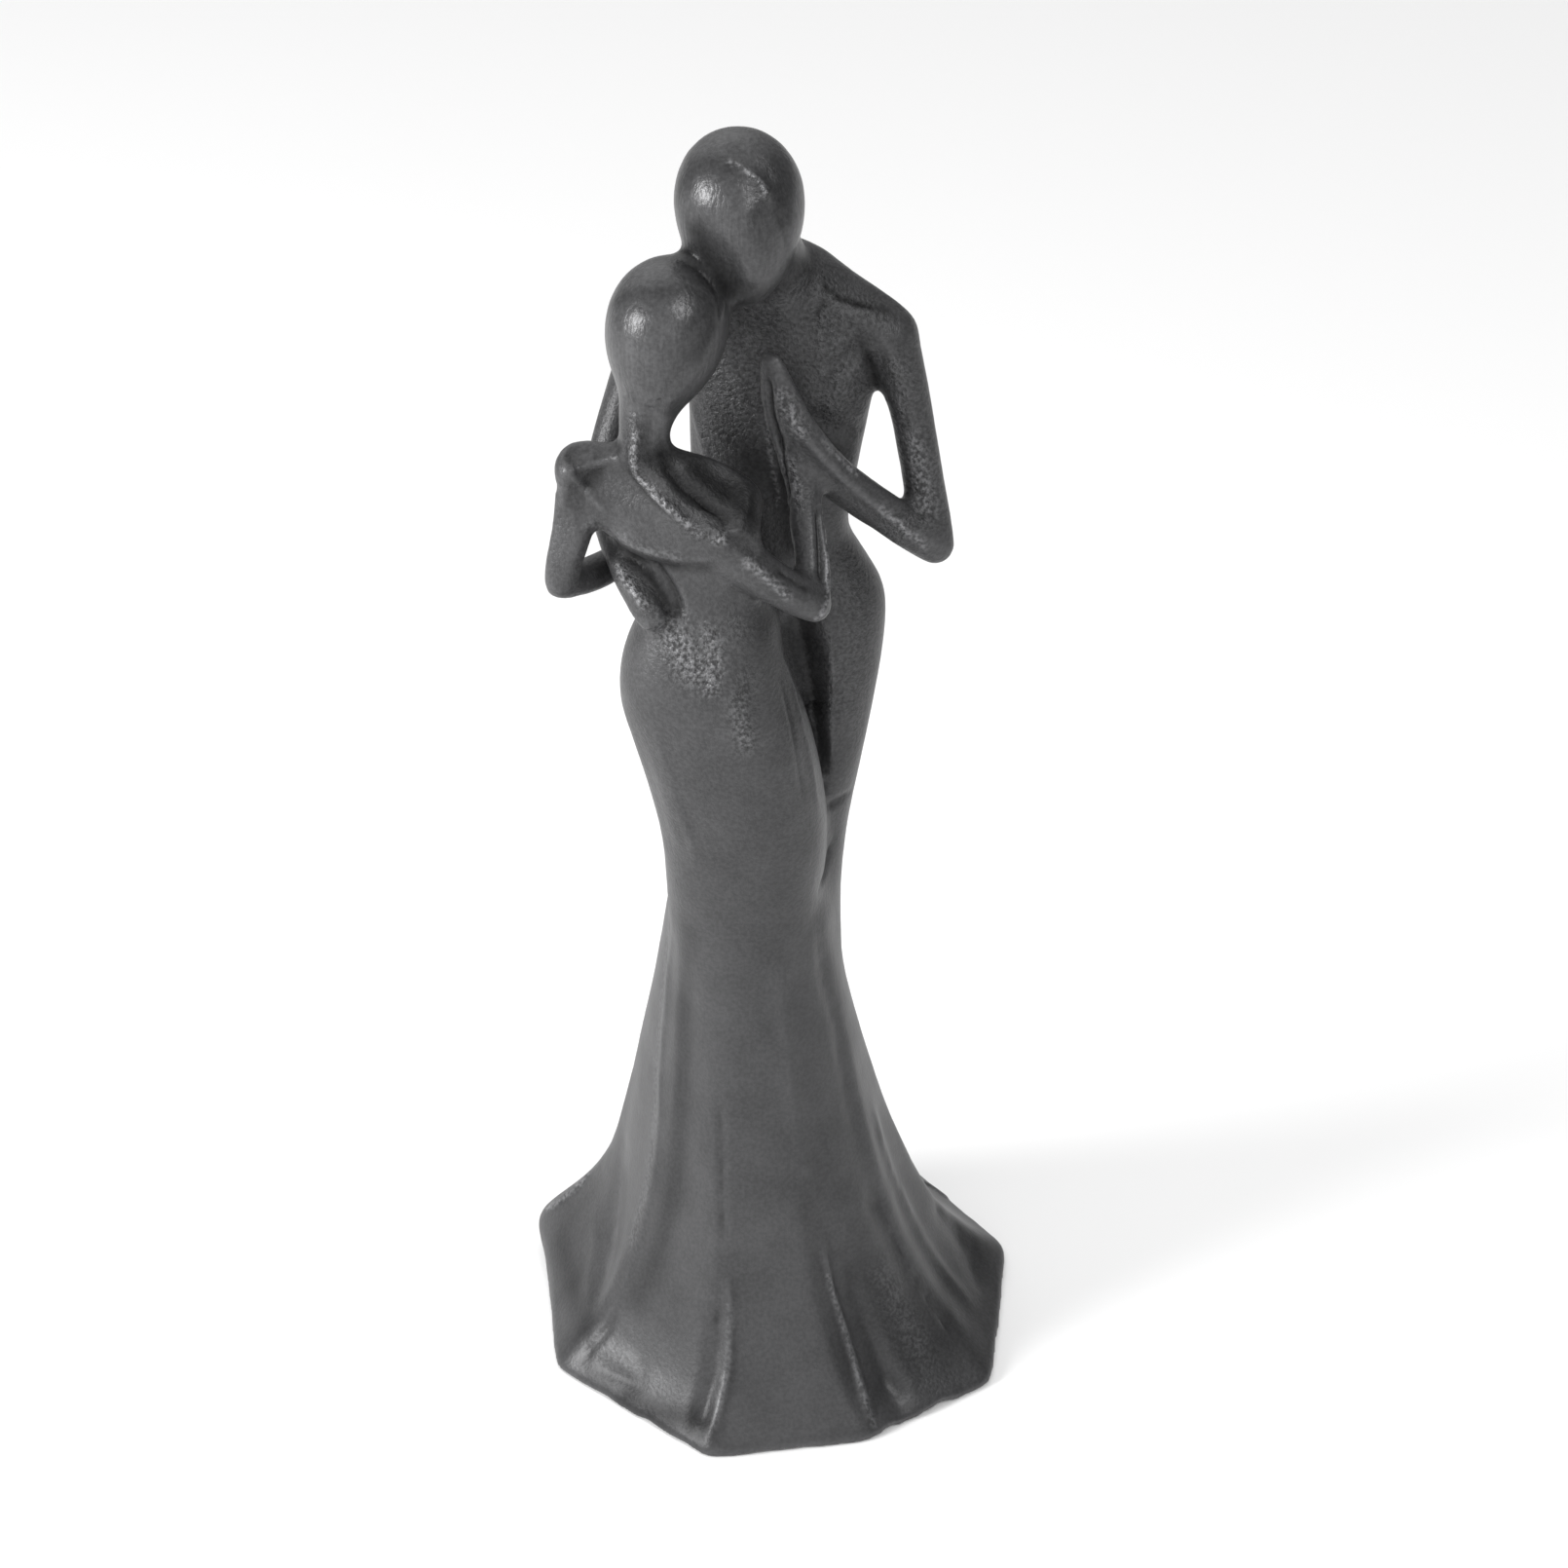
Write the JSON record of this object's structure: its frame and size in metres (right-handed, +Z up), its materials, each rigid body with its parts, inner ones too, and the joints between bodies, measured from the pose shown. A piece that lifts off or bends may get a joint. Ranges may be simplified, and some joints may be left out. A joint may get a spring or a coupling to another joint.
{
  "type": "abstract couple statue",
  "caption": "Slender abstract cast-iron statue of a couple embracing, two faceless figures merging into one flared, folded skirt that stands on its flat underside.",
  "frame": {"origin": "on the ground, in the middle of the statue's bounding box", "axes": "+Z up to the crown of the taller figure, which faces -Y, +X to the right seen from the front"},
  "size_m": [0.0898, 0.0842, 0.2399],
  "materials": {
    "dark_iron": "dark grey, burnished smooth on the heads and skirt, sand-cast grain on the chest, arms and hips"
  },
  "bodies": {
    "root": {"couple_statue": "dark_iron"}
  },
  "joints": []
}
